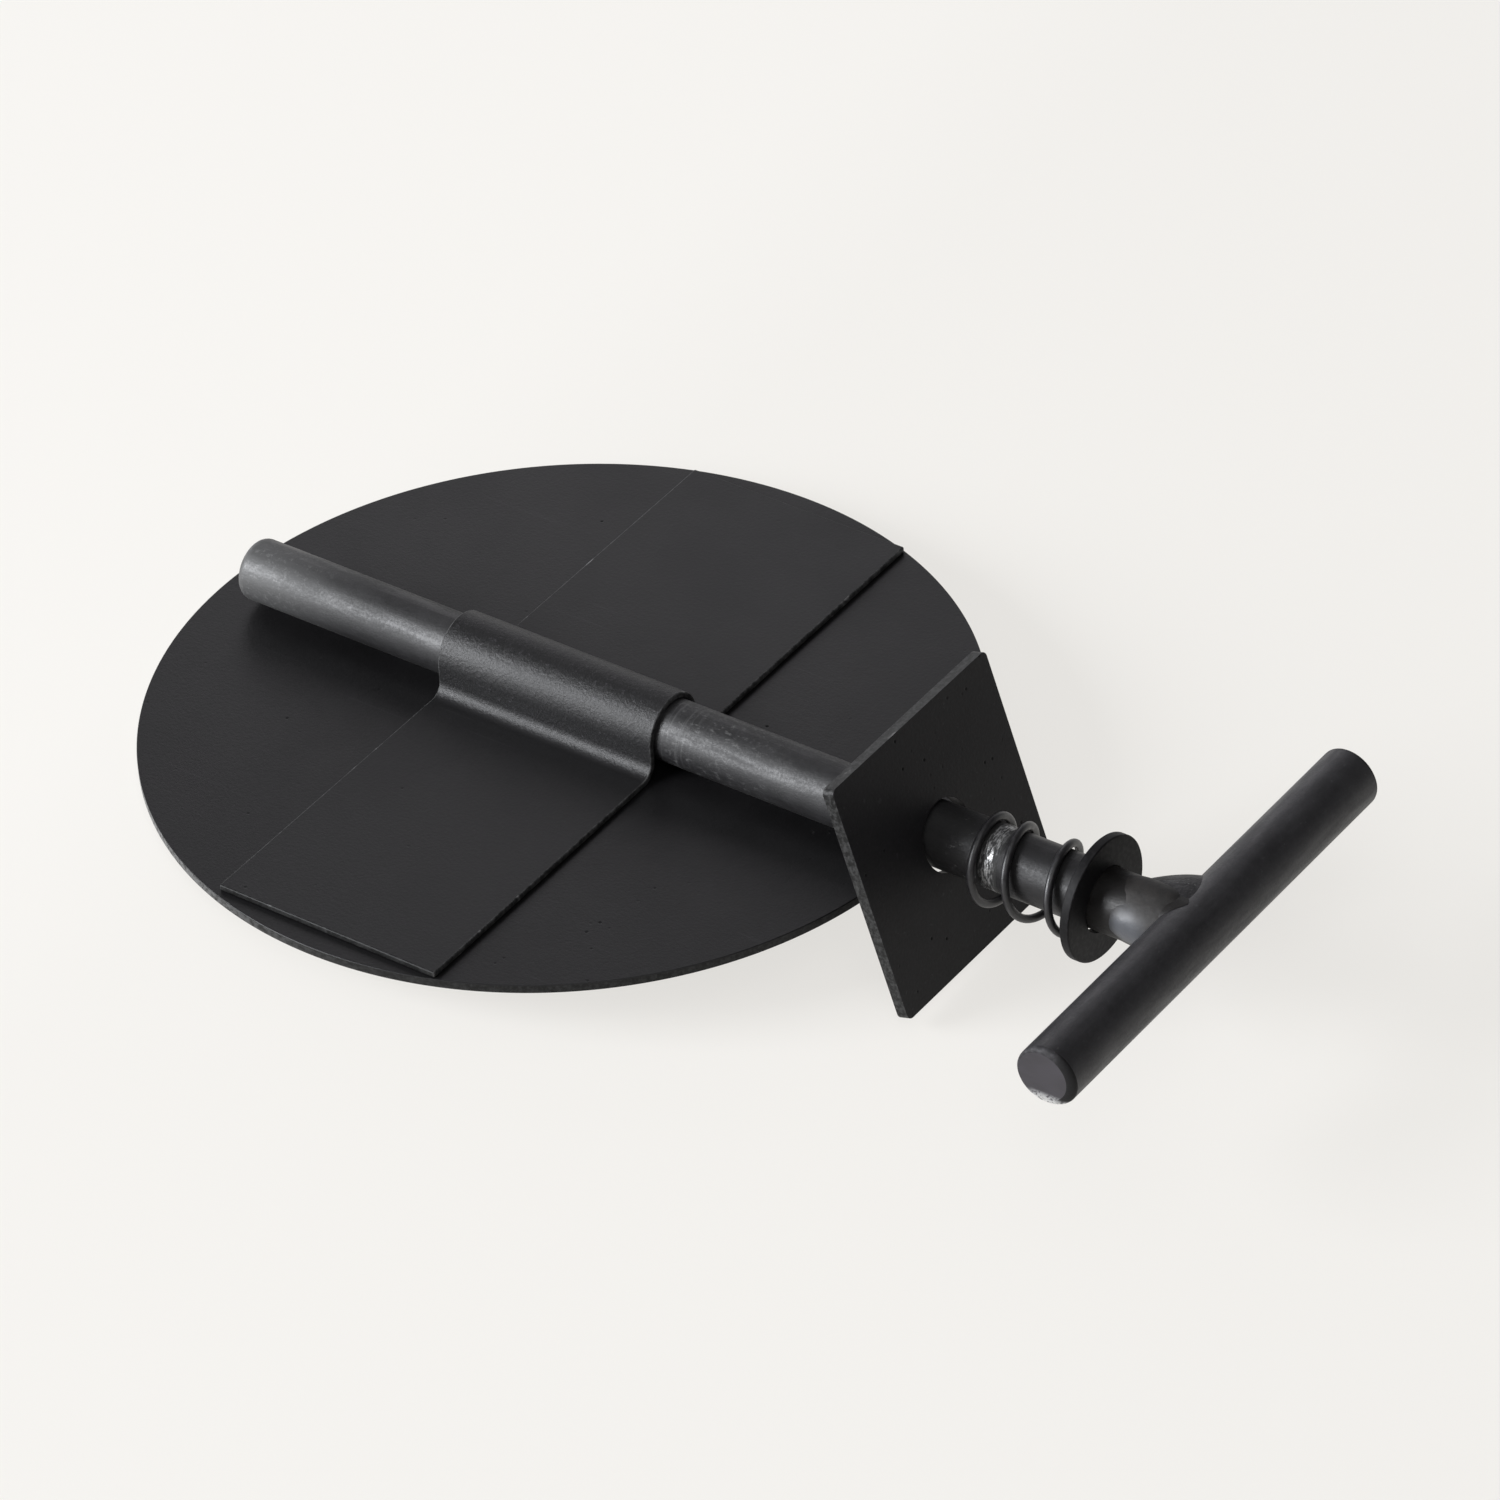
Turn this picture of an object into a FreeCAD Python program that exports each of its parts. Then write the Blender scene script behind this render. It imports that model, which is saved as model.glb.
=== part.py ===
import FreeCAD
import Part
import math
import os

# Stove pipe damper: a round blade with a pressed saddle, on a spindle with a welded T handle.
# Millimetres. X runs along the spindle towards the handle, Z is square to the blade.
# The origin is on the spindle's axis, over the blade's centre.

# Clearances
grip_clearance = 0.05       # spindle to saddle, on the radius
hang_clearance = 0.05       # loose rings to the top of the spindle they hang on
plate_clearance = 0.16      # leaning plate's hole to the spindle, on the radius
seat_clearance = 0.1        # spring's end coil to the washer
cope_clearance = 0.05       # stub's hollowed end to the cross bar, on the radius

# Blade
blade_diameter = 130.0
blade_thickness = 1.5
blade_edge_break = 0.15

# Saddle strap
strap_width = 40.0
strap_thickness = 1.0
strap_shift = 1.3           # towards the handle, from the blade's centre
strap_corner_inset = 0.2    # strap's corners to the blade's rim, along the strap
saddle_foot_radius = 2.2    # inside of the bend where the saddle turns into the strap

# Spindle
rod_diameter = 10.0
rod_lift = 0.6              # spindle's underside above the blade
tip_setback = 6.3           # spindle's tip inside the blade's rim
tip_radius = 1.5

# T handle
bar_diameter = 10.0
bar_length = 82.2
bar_shift = 2.3             # bar's middle from the spindle's axis
bar_edge_break = 0.8
handle_reach = 49.4         # bar's axis beyond the blade's rim
stub_length = 28.1          # butt weld to the bar's near side

# Welds
butt_weld_width = 3.6
butt_weld_depth = 1.6
butt_weld_crown = 0.08
fillet_leg_on_stub = 5.6
fillet_leg_on_bar = 4.6
fillet_bulge = 1.0          # how far the fillet's face stands out of the straight line between its ends
fillet_middle = 25.0        # degrees round the stub from +Y
fillet_spread = 75.0        # degrees to each side, over which the fillet dies out
fillet_last_share = 0.05    # the fillet's legs at its two ends, as a share of those in its middle
fillet_flush = 0.99         # height at which the fillet runs out on the bar, as a share of the bar's radius
fillet_sink = 0.5           # how deep its face starts in the stub and ends in the bar, before they cut it
fillet_run_out = 1.8        # how far its face runs on into the bar, along the stub
fillet_blank_overlap = 2.5  # how far its blank reaches into the stub
fillet_stations = (-1.0, -0.6, 0.0, 0.3, 0.6, 1.0)   # places of its sections, as shares of the spread

# Washer
washer_diameter = 20.0
washer_thickness = 1.6
washer_hole_play = 0.5      # hole over spindle, on the diameter
washer_edge_break = 0.25
washer_free_run = 4.6       # washer's outer face to the fillet weld

# Spring
wire_diameter = 1.3
wire_flats = 10             # sides of the section that stands for the round wire
spring_play = 1.9           # coil's inside over spindle, on the diameter
spring_length = 18.8        # between the wire's two ends, on its centre line
spring_turns = 3.75
spring_points_per_turn = 8
spring_closing = 0.65       # 0 is an even pitch, 1 brings the end coils flat
spring_start = -0.45        # turns from the top of the coil to the wire's first end

# Wall plate
plate_side = 40.0
plate_thickness = 2.0
plate_corner_radius = 1.0
plate_lean = 17.0           # degrees, its top towards the blade
plate_standoff = 5.2        # plate's middle beyond the blade's rim

# Places worked out from the sizes above
same_place = 1e-6           # two points this near are one
AXIS_X = FreeCAD.Vector(1, 0, 0)
AXIS_Y = FreeCAD.Vector(0, 1, 0)
AXIS_Z = FreeCAD.Vector(0, 0, 1)
rod_radius = rod_diameter / 2
bar_radius = bar_diameter / 2
blade_radius = blade_diameter / 2
blade_top_z = -rod_radius - rod_lift
tip_x = -(blade_radius - tip_setback)
bar_x = blade_radius + handle_reach
stub_end_x = bar_x - bar_radius
butt_weld_x = stub_end_x - stub_length
washer_face_x = stub_end_x - fillet_leg_on_stub - washer_free_run
washer_back_x = washer_face_x - washer_thickness
plate_x = blade_radius + plate_standoff


def point(x, y, z):
    return FreeCAD.Vector(x, y, z)


def line(start, end):
    return Part.makeLine(start, end)


def arc(start, middle, end):
    return Part.Arc(start, middle, end).toShape()


def outline(points):
    """Closed wire of straight runs through the points."""
    return Part.makePolygon(points + points[:1])


def bar_along_x(radius, start_x, end_x):
    return Part.makeCylinder(radius, end_x - start_x, point(start_x, 0, 0), AXIS_X)


def end_edges(shape, place):
    """Round edges of a shape whose centre of mass is at the place."""
    return [edge for edge in shape.Edges if edge.CenterOfMass.isEqual(place, same_place)]


def blade_disc():
    bottom = point(0, 0, blade_top_z - blade_thickness)
    top = point(0, 0, blade_top_z)
    disc = Part.makeCylinder(blade_radius, blade_thickness, bottom, AXIS_Z)
    return disc.makeChamfer(blade_edge_break, end_edges(disc, bottom) + end_edges(disc, top))


def saddle_edges(inside, x):
    """Half of the saddle's section, from the strap's end to the top, on the sheet's lower or upper face."""
    arch_radius = rod_radius + grip_clearance
    foot_radius = saddle_foot_radius + strap_thickness
    foot_y = arch_radius + foot_radius
    foot_z = blade_top_z + foot_radius
    if inside:
        face_radius, bend_radius = arch_radius, foot_radius
    else:
        face_radius, bend_radius = arch_radius + strap_thickness, saddle_foot_radius
    half_length = strap_half_length()
    diagonal = math.sqrt(0.5)
    flat_z = foot_z - bend_radius
    end = point(x, -half_length, flat_z)
    flat_end = point(x, -foot_y, flat_z)
    bend_middle = point(x, -foot_y + bend_radius * diagonal, foot_z - bend_radius * diagonal)
    bend_end = point(x, -foot_y + bend_radius, foot_z)
    side_top = point(x, -face_radius, 0)
    arch_middle = point(x, -face_radius * diagonal, face_radius * diagonal)
    arch_top = point(x, 0, face_radius)
    edges = [line(end, flat_end), arc(flat_end, bend_middle, bend_end)]
    edges += [line(bend_end, side_top), arc(side_top, arch_middle, arch_top)]
    return edges, end, arch_top


def strap_half_length():
    """The strap's corner nearest the rim stays inside it."""
    corner_x = strap_width / 2 + abs(strap_shift)
    return math.sqrt(blade_radius ** 2 - corner_x ** 2) - strap_corner_inset


def saddle_strap():
    """One sheet strip, pressed into a saddle: half its section drawn along X, and its mirror image."""
    start_x = strap_shift - strap_width / 2
    lower, lower_end, lower_top = saddle_edges(True, start_x)
    upper, upper_end, upper_top = saddle_edges(False, start_x)
    edges = lower + upper + [line(lower_end, upper_end), line(lower_top, upper_top)]
    section = Part.Face(Part.Wire(Part.__sortEdges__(edges)))
    half = section.extrude(AXIS_X * strap_width)
    return half.fuse(half.mirror(point(0, 0, 0), AXIS_Y)).removeSplitter()


def weld_groove(side):
    """V groove's half in one bar's end: side -1 for the long bar, +1 for the stub."""
    half_width = butt_weld_width / 2
    rim = point(butt_weld_x + side * half_width, 0, rod_radius)
    root = point(butt_weld_x, 0, rod_radius - butt_weld_depth)
    outer = point(butt_weld_x, 0, rod_radius)
    return Part.Face(outline([rim, root, outer])).revolve(point(0, 0, 0), AXIS_X, 360)


def spindle_rod():
    rod = bar_along_x(rod_radius, tip_x, butt_weld_x)
    rod = rod.makeFillet(tip_radius, end_edges(rod, point(tip_x, 0, 0)))
    return rod.cut(weld_groove(-1))


def butt_weld():
    """Weld metal that fills the V groove between the two bars, with a low crown."""
    half_width = butt_weld_width / 2
    left = point(butt_weld_x - half_width, 0, rod_radius)
    right = point(butt_weld_x + half_width, 0, rod_radius)
    root = point(butt_weld_x, 0, rod_radius - butt_weld_depth)
    crown = point(butt_weld_x, 0, rod_radius + butt_weld_crown)
    section = Part.Face(Part.Wire([line(root, left), arc(left, crown, right), line(right, root)]))
    return section.revolve(point(0, 0, 0), AXIS_X, 360)


def sawn_bar(radius):
    start = point(bar_x, bar_shift - bar_length / 2, 0)
    return Part.makeCylinder(radius, bar_length, start, AXIS_Y)


def handle_bar():
    bar = sawn_bar(bar_radius)
    near_end = point(bar_x, bar_shift - bar_length / 2, 0)
    far_end = point(bar_x, bar_shift + bar_length / 2, 0)
    return bar.makeChamfer(bar_edge_break, end_edges(bar, near_end) + end_edges(bar, far_end))


def handle_stub():
    """Bar from the butt weld to the cross bar, its end hollowed to sit on the cross bar."""
    stub = bar_along_x(rod_radius, butt_weld_x, bar_x)
    return stub.cut(weld_groove(1)).cut(sawn_bar(bar_radius + cope_clearance))


def fillet_section(turn, size):
    """Section of the fillet weld before it is cut to the bars, in a half plane turned round the stub."""
    turned = FreeCAD.Rotation(AXIS_X, turn)
    rise = abs(math.sin(math.radians(turn)))
    top_radius = rod_radius + fillet_leg_on_bar * size
    if top_radius * rise > fillet_flush * bar_radius:
        top_radius = fillet_flush * bar_radius / rise
    top_x = bar_x - math.sqrt(bar_radius ** 2 - (top_radius * rise) ** 2)

    def place(x, radius):
        return turned.multVec(point(x, radius, 0))

    start_x, start_radius = stub_end_x - fillet_leg_on_stub * size - fillet_sink, rod_radius - fillet_sink
    end_x, end_radius = top_x + fillet_run_out, top_radius - fillet_sink
    run = point(end_x - start_x, end_radius - start_radius, 0)
    middle_x = (start_x + end_x) / 2 - fillet_bulge * size * run.y / run.Length
    middle_radius = (start_radius + end_radius) / 2 + fillet_bulge * size * run.x / run.Length
    start, end = place(start_x, start_radius), place(end_x, end_radius)
    heel_radius = rod_radius - fillet_blank_overlap
    low_end, low_start = place(bar_x, heel_radius), place(start_x, heel_radius)
    face = arc(start, place(middle_x, middle_radius), end)
    return Part.Wire([line(low_end, low_start), line(low_start, start), face, line(end, low_end)])


def handle_weld():
    """Fillet weld on one side of the T joint, largest in its middle and dying out both ways."""
    sections = []
    for share in fillet_stations:
        size = fillet_last_share + (1 - fillet_last_share) * math.cos(share * math.pi / 2)
        sections.append(fillet_section(fillet_middle + share * fillet_spread, size))
    blob = Part.makeLoft(sections, True, False)
    stub_space = bar_along_x(rod_radius, butt_weld_x, bar_x + bar_radius)
    return blob.cut(stub_space).cut(sawn_bar(bar_radius))


def washer():
    hole_radius = (rod_diameter + washer_hole_play) / 2
    hang_z = -(hole_radius - rod_radius - hang_clearance)
    centre = point(washer_back_x, 0, hang_z)
    ring = Part.makeCylinder(washer_diameter / 2, washer_thickness, centre, AXIS_X)
    ring = ring.makeChamfer(washer_edge_break, end_edges(ring, point(washer_face_x, 0, hang_z)))
    return ring.cut(Part.makeCylinder(hole_radius, washer_thickness, centre, AXIS_X))


def spring_point(share):
    """Point on the wire's centre line, share 0 at the plate's end and 1 at the washer's end."""
    wire_radius = wire_diameter / 2
    inside_radius = (rod_diameter + spring_play) / 2
    coil_radius = inside_radius + wire_radius
    hang_z = -(inside_radius - rod_radius - hang_clearance)
    end_x = washer_back_x - seat_clearance - wire_radius
    run = share - spring_closing * math.sin(2 * math.pi * share) / (2 * math.pi)
    turn = 2 * math.pi * (spring_start + share * spring_turns)
    x = end_x - spring_length * (1 - run)
    return point(x, -coil_radius * math.sin(turn), hang_z + coil_radius * math.cos(turn))


def wire_section(centre, heading):
    """Many-sided section that stands for the round wire, square to its heading."""
    across = AXIS_X.cross(heading).normalize()
    along = heading.cross(across)
    corners = []
    for i in range(wire_flats):
        turn = 2 * math.pi * i / wire_flats
        corners.append(centre + (across * math.cos(turn) + along * math.sin(turn)) * (wire_diameter / 2))
    return outline(corners)


def spring():
    """Wire swept along a right-hand coil whose pitch closes up at both ends."""
    count = int(round(spring_turns * spring_points_per_turn))
    curve = Part.BSplineCurve()
    curve.interpolate([spring_point(i / count) for i in range(count + 1)])
    start = curve.FirstParameter
    sweep = Part.BRepOffsetAPI.MakePipeShell(Part.Wire(curve.toShape()))
    sweep.setBiNormalMode(AXIS_X)
    sweep.add(wire_section(curve.value(start), curve.tangent(start)[0]), False, False)
    sweep.build()
    sweep.makeSolid()
    return sweep.shape()


def wall_plate():
    """Square plate with a drilled hole, leaning on the spindle as far as its hole lets it."""
    lean = math.radians(plate_lean)
    leaning_bore = (rod_diameter + plate_thickness * math.sin(lean)) / math.cos(lean)
    hole_radius = leaning_bore / 2 + plate_clearance
    half, back = plate_side / 2, -plate_thickness / 2
    plate = Part.makeBox(plate_thickness, plate_side, plate_side, point(back, -half, -half))
    corners = [edge for edge in plate.Edges if abs(edge.tangentAt(edge.FirstParameter).x) > 0.5]
    plate = plate.makeFillet(plate_corner_radius, corners)
    plate = plate.cut(Part.makeCylinder(hole_radius, plate_thickness, point(back, 0, 0), AXIS_X))
    plate.rotate(point(0, 0, 0), AXIS_Y, -plate_lean)
    plate.translate(point(plate_x, 0, 0))
    return plate


pieces = {
    "blade_disc": blade_disc,
    "saddle_strap": saddle_strap,
    "spindle_rod": spindle_rod,
    "butt_weld": butt_weld,
    "handle_stub": handle_stub,
    "handle_weld": handle_weld,
    "handle_bar": handle_bar,
    "washer": washer,
    "spring": spring,
    "wall_plate": wall_plate,
}

os.makedirs("parts", exist_ok=True)
for name, build in pieces.items():
    shape = build()
    shape.exportStep(os.path.join("parts", name + ".step"))
    print(name, "solids", len(shape.Solids), "volume", round(shape.Volume, 1), "valid", shape.isValid())
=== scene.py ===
import math

import bmesh
import bpy
from mathutils import Matrix, Vector, noise


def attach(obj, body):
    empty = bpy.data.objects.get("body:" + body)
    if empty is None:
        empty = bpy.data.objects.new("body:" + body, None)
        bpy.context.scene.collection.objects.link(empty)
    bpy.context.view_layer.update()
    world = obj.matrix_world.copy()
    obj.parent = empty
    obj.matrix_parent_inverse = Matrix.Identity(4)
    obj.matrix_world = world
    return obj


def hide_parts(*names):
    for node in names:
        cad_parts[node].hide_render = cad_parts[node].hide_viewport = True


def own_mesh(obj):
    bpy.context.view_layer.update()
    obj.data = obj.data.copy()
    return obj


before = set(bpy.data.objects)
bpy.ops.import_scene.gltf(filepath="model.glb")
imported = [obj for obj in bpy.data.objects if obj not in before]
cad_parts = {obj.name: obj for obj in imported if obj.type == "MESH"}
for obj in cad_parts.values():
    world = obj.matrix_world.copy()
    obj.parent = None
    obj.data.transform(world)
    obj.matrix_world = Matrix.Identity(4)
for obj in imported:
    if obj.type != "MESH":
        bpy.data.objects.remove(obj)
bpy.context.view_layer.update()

# Sizes in metres, as the solids have them
MM = 0.001
BLADE_RADIUS = 65.0 * MM
BLADE_TOP = -5.6 * MM
BLADE_THICKNESS = 1.5 * MM
STRAP_START = -18.7 * MM
STRAP_WIDTH = 40.0 * MM
STRAP_HALF_LENGTH = 61.21 * MM
STRAP_THICKNESS = 1.0 * MM
ARCH_INSIDE = 5.05 * MM
FOOT_BEND = 3.2 * MM
ROD_RADIUS = 5.0 * MM
BAR_X = 114.4 * MM
BAR_LENGTH = 82.2 * MM
BAR_SHIFT = 2.3 * MM
BUTT_WELD_X = 81.3 * MM
BUTT_WELD_HALF = 1.8 * MM
WASHER_BACK = 97.6 * MM
WASHER_THICKNESS = 1.6 * MM
WASHER_RADIUS = 10.0 * MM
WASHER_HOLE = 5.25 * MM
WASHER_HANG = -0.2 * MM
COIL_RADIUS = 6.6 * MM
COIL_HANG = -0.9 * MM
WIRE_RADIUS = 0.65 * MM
COIL_END_X = 96.85 * MM
COIL_LENGTH = 18.8 * MM
COIL_TURNS = 3.75
COIL_START = -0.45
COIL_CLOSING = 0.65
PLATE_X = 70.2 * MM
PLATE_SIDE = 40.0 * MM
PLATE_THICKNESS = 2.0 * MM
PLATE_CORNER = 1.0 * MM
PLATE_HOLE = 5.69 * MM
PLATE_LEAN = math.radians(17.0)

# Rounded edges
BLADE_ROUNDING = 0.15 * MM
STRAP_ROUNDING = 0.25 * MM
PLATE_ROUNDING = 0.14 * MM
WASHER_HOLE_ROUNDING = 0.06 * MM
WASHER_RIM_ROUNDING = 0.25 * MM
WIRE_ROUNDING = 0.12 * MM
BAR_ROUNDING = 0.9 * MM
BAR_WORN_ASIDE = 0.5 * MM          # how far the bar's end faces lie off its axis, towards the blade
STRAP_END_BAND = 0.24 * MM         # depth of the strap's end that counts as cut edge

# Fineness of the round shapes
BLADE_SIDES = 360
FOOT_STEPS = 16
ARCH_STEPS = 48
PLATE_CORNER_STEPS = 5
PLATE_HOLE_SIDES = 72
WASHER_SIDES = 120
WIRE_SIDES = 20
COIL_STEPS = 180
BAR_SIDES = 120
BUTT_WELD_SIDES = 140
COLLAR_SIDES = 120
SAME_PLACE = 1e-7
CORNER_ANGLE = math.radians(60)    # edges sharper than this get rounded
SHADING_ANGLE = math.radians(50)   # faces that meet flatter than this are shaded as one

# Which faces are cut edges, sides, rims and ends, by their normal's share along the named axis
CUT_EDGE_Z = 0.3                   # less than this
STRAP_SIDE_X = 0.2                 # and the others more
BAR_RIM_Y = 0.1
BAR_END_Y = 0.99

# Weld shapes: radii of the butt weld, then the collar's rows as places along X and radii, in mm
BUTT_WELD_ROOT = 4.6 * MM
BUTT_WELD_EDGE = 4.97 * MM
BUTT_WELD_CROWN = 5.05 * MM
BUTT_WELD_SKIN = 4.9 * MM          # points outside a weld's skin radius get lumps
BUTT_WELD_LUMP = 1.1 * MM
BUTT_WELD_LUMP_HEIGHT = 0.07 * MM
COLLAR_ROWS = ((102.4, 4.70), (103.2, 4.93), (104.0, 5.08), (105.0, 5.22), (106.2, 5.30),
               (107.6, 5.30), (109.0, 5.28), (110.4, 5.20), (111.6, 4.95), (112.6, 4.50))
COLLAR_ROOT = 4.2
COLLAR_SKIN = 4.6 * MM
COLLAR_BEADS = 4
COLLAR_FIRST_BEAD = math.radians(170)
COLLAR_SWELL = 0.16 * MM
COLLAR_LUMP = 2.4 * MM
COLLAR_LUMP_HEIGHT = 0.10 * MM

# Marks of wear and burning, and painted light and shade: spans over which a mark comes in or fades,
# first those along X
TIP_LIGHTER = (-66.0 * MM, -30.0 * MM)
TIP_CHIPPED = (-60.0 * MM, -36.0 * MM)
SCORES_BEGIN = (21.0 * MM, 22.5 * MM)
SCORES_END = (24.0 * MM, 31.0 * MM)
FLECKS_BEGIN = (22.5 * MM, 24.5 * MM)
FLECKS_END = (30.0 * MM, 50.0 * MM)
SMUDGES_BEGIN = (72.5 * MM, 76.5 * MM)
STUB_BURNT_AND_SHADED = (97.0 * MM, 98.5 * MM)
RIM_LEFT_PAINTED_LIGHT = (-50.0 * MM, 10.0 * MM)
END_BARE_X = (BAR_X - 3.6 * MM, BAR_X - 1.2 * MM)
BAR_RIM_DARKER_SIDE = (BAR_X + 1.0 * MM, BAR_X + 2.8 * MM)
# then those up Z
STRAP_RISE = (-4.60 * MM, -4.25 * MM)
END_BARE_Z = (-4.0 * MM, -2.6 * MM)
BAR_RIM_BARE = (-4.6 * MM, -3.0 * MM)
# and those out from the butt weld's middle and from the collar bead's painted highlight
WELD_BRIGHT = (0.5 * MM, 1.6 * MM)
BEAD_HIGHLIGHT_PLACE = (106.0 * MM, -5.2 * MM, 0.2 * MM)
BEAD_PAINTED_HIGHLIGHT = (2.0 * MM, 5.4 * MM)
BEAD_HIGHLIGHT_RAGGED = 1.6 * MM

# Paper under the damper
PAPER_GAP = 0.02 * MM
PAPER_BEND = 40.0 * MM
PAPER_STEPS = 16
PAPER_REACH = 4.0
PLATE_FOOT_X = 63.3 * MM           # the plate's lower edge at a quarter turn
PLATE_FOOT_Z = -20.03 * MM
PAPER_OWN_COLOUR = 0.8             # share that shows the paper's colour without shadow

# Camera
CAMERA_PLACE = (0.688575, -0.849737, 0.830338)
CAMERA_TURN = (52.22994, 3.10565, 35.14191)
CAMERA_LENS = 216.944
CAMERA_SENSOR = 36.0
CAMERA_REACH = 50.0

# Brightness of the studio's walls: axis, span, and the levels before and after it
WALLS_BY_HEIGHT = ("Z", 0.2, 0.62, 0.9, 0.10)
WALLS_BY_SIDE = ("X", -0.9, 0.5, 1.15, 0.35)
WALL_TINT = (0.97, 0.97, 1.0, 1)

AXIS_X = Vector((1, 0, 0))
AXIS_Y = Vector((0, 1, 0))
AXIS_Z = Vector((0, 0, 1))
ALONG_X = 0
ALONG_Y = 1


class Finish:
    """A surface finish: one shader and the nodes that feed it."""

    def __init__(self, name):
        self.material = bpy.data.materials.new(name)
        self.material.use_nodes = True
        self.tree = self.material.node_tree
        self.shader = self.tree.nodes["Principled BSDF"]
        self.place = self.tree.nodes.new("ShaderNodeTexCoord").outputs["Object"]

    def node(self, kind, inputs=None, **settings):
        made = self.tree.nodes.new(kind)
        for key, value in settings.items():
            setattr(made, key, value)
        for key, value in (inputs or {}).items():
            self.feed(made.inputs[key], value)
        return made

    def feed(self, socket, value):
        if isinstance(value, bpy.types.NodeSocket):
            self.tree.links.new(value, socket)
        else:
            socket.default_value = value

    def stretched(self, scale, turn=(0, 0, 0)):
        """The object's own space, stretched and turned."""
        inputs = {"Vector": self.place, "Scale": scale, "Rotation": turn}
        return self.node("ShaderNodeMapping", inputs).outputs[0]

    def grain(self, scale, detail=3.0, roughness=0.55, place=None):
        inputs = {"Vector": place or self.place, "Scale": scale, "Detail": detail,
                  "Roughness": roughness}
        return self.node("ShaderNodeTexNoise", inputs).outputs["Fac"]

    def cells(self, scale):
        inputs = {"Vector": self.place, "Scale": scale}
        return self.node("ShaderNodeTexVoronoi", inputs).outputs["Distance"]

    def spread(self, value, low, high, to_low=0.0, to_high=1.0):
        inputs = {"Value": value, "From Min": low, "From Max": high,
                  "To Min": to_low, "To Max": to_high}
        return self.node("ShaderNodeMapRange", inputs, interpolation_type="SMOOTHSTEP").outputs[0]

    def rise(self, value, span, level=1.0):
        """Nothing before the span, the full level after it."""
        return self.spread(value, *span, 0.0, level)

    def fade(self, value, span, level=1.0):
        """The full level before the span, nothing after it."""
        return self.spread(value, *span, level, 0.0)

    def maths(self, operation, first, second):
        made = self.node("ShaderNodeMath", operation=operation)
        self.feed(made.inputs[0], first)
        self.feed(made.inputs[1], second)
        return made.outputs[0]

    def both(self, first, second):
        """Where two masks meet, or one mask at a share of its strength."""
        return self.maths("MULTIPLY", first, second)

    def along(self, axis):
        """Place along one axis of the object."""
        return self.node("ShaderNodeSeparateXYZ", {"Vector": self.place}).outputs[axis]

    def mix(self, share, first, second):
        made = self.node("ShaderNodeMix", data_type="RGBA")
        self.feed(made.inputs[0], share)
        self.feed(made.inputs[6], first)
        self.feed(made.inputs[7], second)
        return made.outputs[2]

    def relief(self, height, strength, depth):
        inputs = {"Height": height, "Strength": strength, "Distance": depth}
        self.feed(self.shader.inputs["Normal"], self.node("ShaderNodeBump", inputs).outputs[0])

    def surface(self, **inputs):
        for key, value in inputs.items():
            self.feed(self.shader.inputs[key.replace("_", " ")], value)


def grey(level):
    return (level, level, level, 1.0)


def charcoal(level):
    return (level * 1.02, level * 0.97, level * 1.07, 1.0)


def blackened_sheet(name, dark, light, gloss, rough, sound, pressed=False):
    """Matt charcoal sheet: faintly cloudy, fine grained, pitted where it isn't sound, and
    crackled where it was pressed up."""
    sheet = Finish(name)
    clouds = sheet.spread(sheet.grain(45, 4.0), 0.3, 0.7)
    fine = sheet.grain(1900, 3.0, 0.65)
    tone = sheet.mix(clouds, charcoal(dark), charcoal(light))
    tone = sheet.mix(sheet.spread(fine, 0.35, 0.75, 0.0, 0.35), tone, charcoal(light * 1.6))
    pits = sheet.spread(sheet.cells(420), 0.06, 0.17, 1.0, 0.0)
    pits = sheet.both(pits, sheet.spread(sheet.grain(130, 2.0), sound, sound + 0.1))
    across = sheet.stretched((1.0, 34.0, 34.0), (0.4, 0.3, 0.9))
    scratches = sheet.grain(30, 2.0, 0.5, across)
    tone = sheet.mix(pits, tone, charcoal(dark * 0.3))
    tone = sheet.mix(sheet.spread(scratches, 0.68, 0.76, 0.0, 0.25), tone, charcoal(light * 4))
    height = sheet.maths("ADD", fine, sheet.both(pits, -1.2))
    if pressed:
        bends = sheet.rise(sheet.along("Z"), STRAP_RISE)
        crackle = sheet.grain(1500, 4.0, 0.75)
        bumps = sheet.both(sheet.maths("SUBTRACT", crackle, 0.5), sheet.both(bends, 4.5))
        height = sheet.maths("ADD", height, bumps)
        specks = sheet.both(bends, sheet.spread(crackle, 0.55, 0.69, 0.0, 0.7))
        tone = sheet.mix(specks, tone, charcoal(light * 7))
    sheet.surface(Base_Color=tone, Metallic=0.0, Specular_IOR_Level=gloss)
    smooth = sheet.spread(clouds, 0.0, 1.0, rough - 0.025, rough + 0.025)
    sheet.surface(Roughness=sheet.maths("MAXIMUM", smooth, sheet.both(pits, 0.85)))
    sheet.relief(height, 0.3, 0.1 * MM)
    return sheet


def sheared_edge(name, dark, light, wear_and_painted_light=0.0):
    """Cut edge of a sheet: greyer, with short marks across the cut, a few bright nicks, and its
    left side painted lighter in patches, as painted light from the left."""
    edge = Finish(name)
    marks = edge.grain(1200, 4.0, 0.7)
    tone = edge.mix(edge.spread(marks, 0.38, 0.66), grey(dark), grey(light))
    nicks = edge.spread(edge.grain(170, 3.0, 0.6), 0.65, 0.71)
    tone = edge.mix(nicks, tone, grey(light * 2.5))
    # painted light: the edge is lighter in patches on its left, where the light from the left falls
    left = edge.fade(edge.along("X"), RIM_LEFT_PAINTED_LIGHT, wear_and_painted_light)
    left_painted_light = edge.both(left, edge.spread(marks, 0.34, 0.56))
    tone = edge.mix(left_painted_light, tone, grey(0.16))
    edge.surface(Base_Color=tone, Metallic=0.3, Specular_IOR_Level=0.2)
    edge.surface(Roughness=edge.spread(marks, 0.3, 0.7, 0.42, 0.58))
    edge.relief(marks, 0.4, 0.1 * MM)
    return edge


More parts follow.
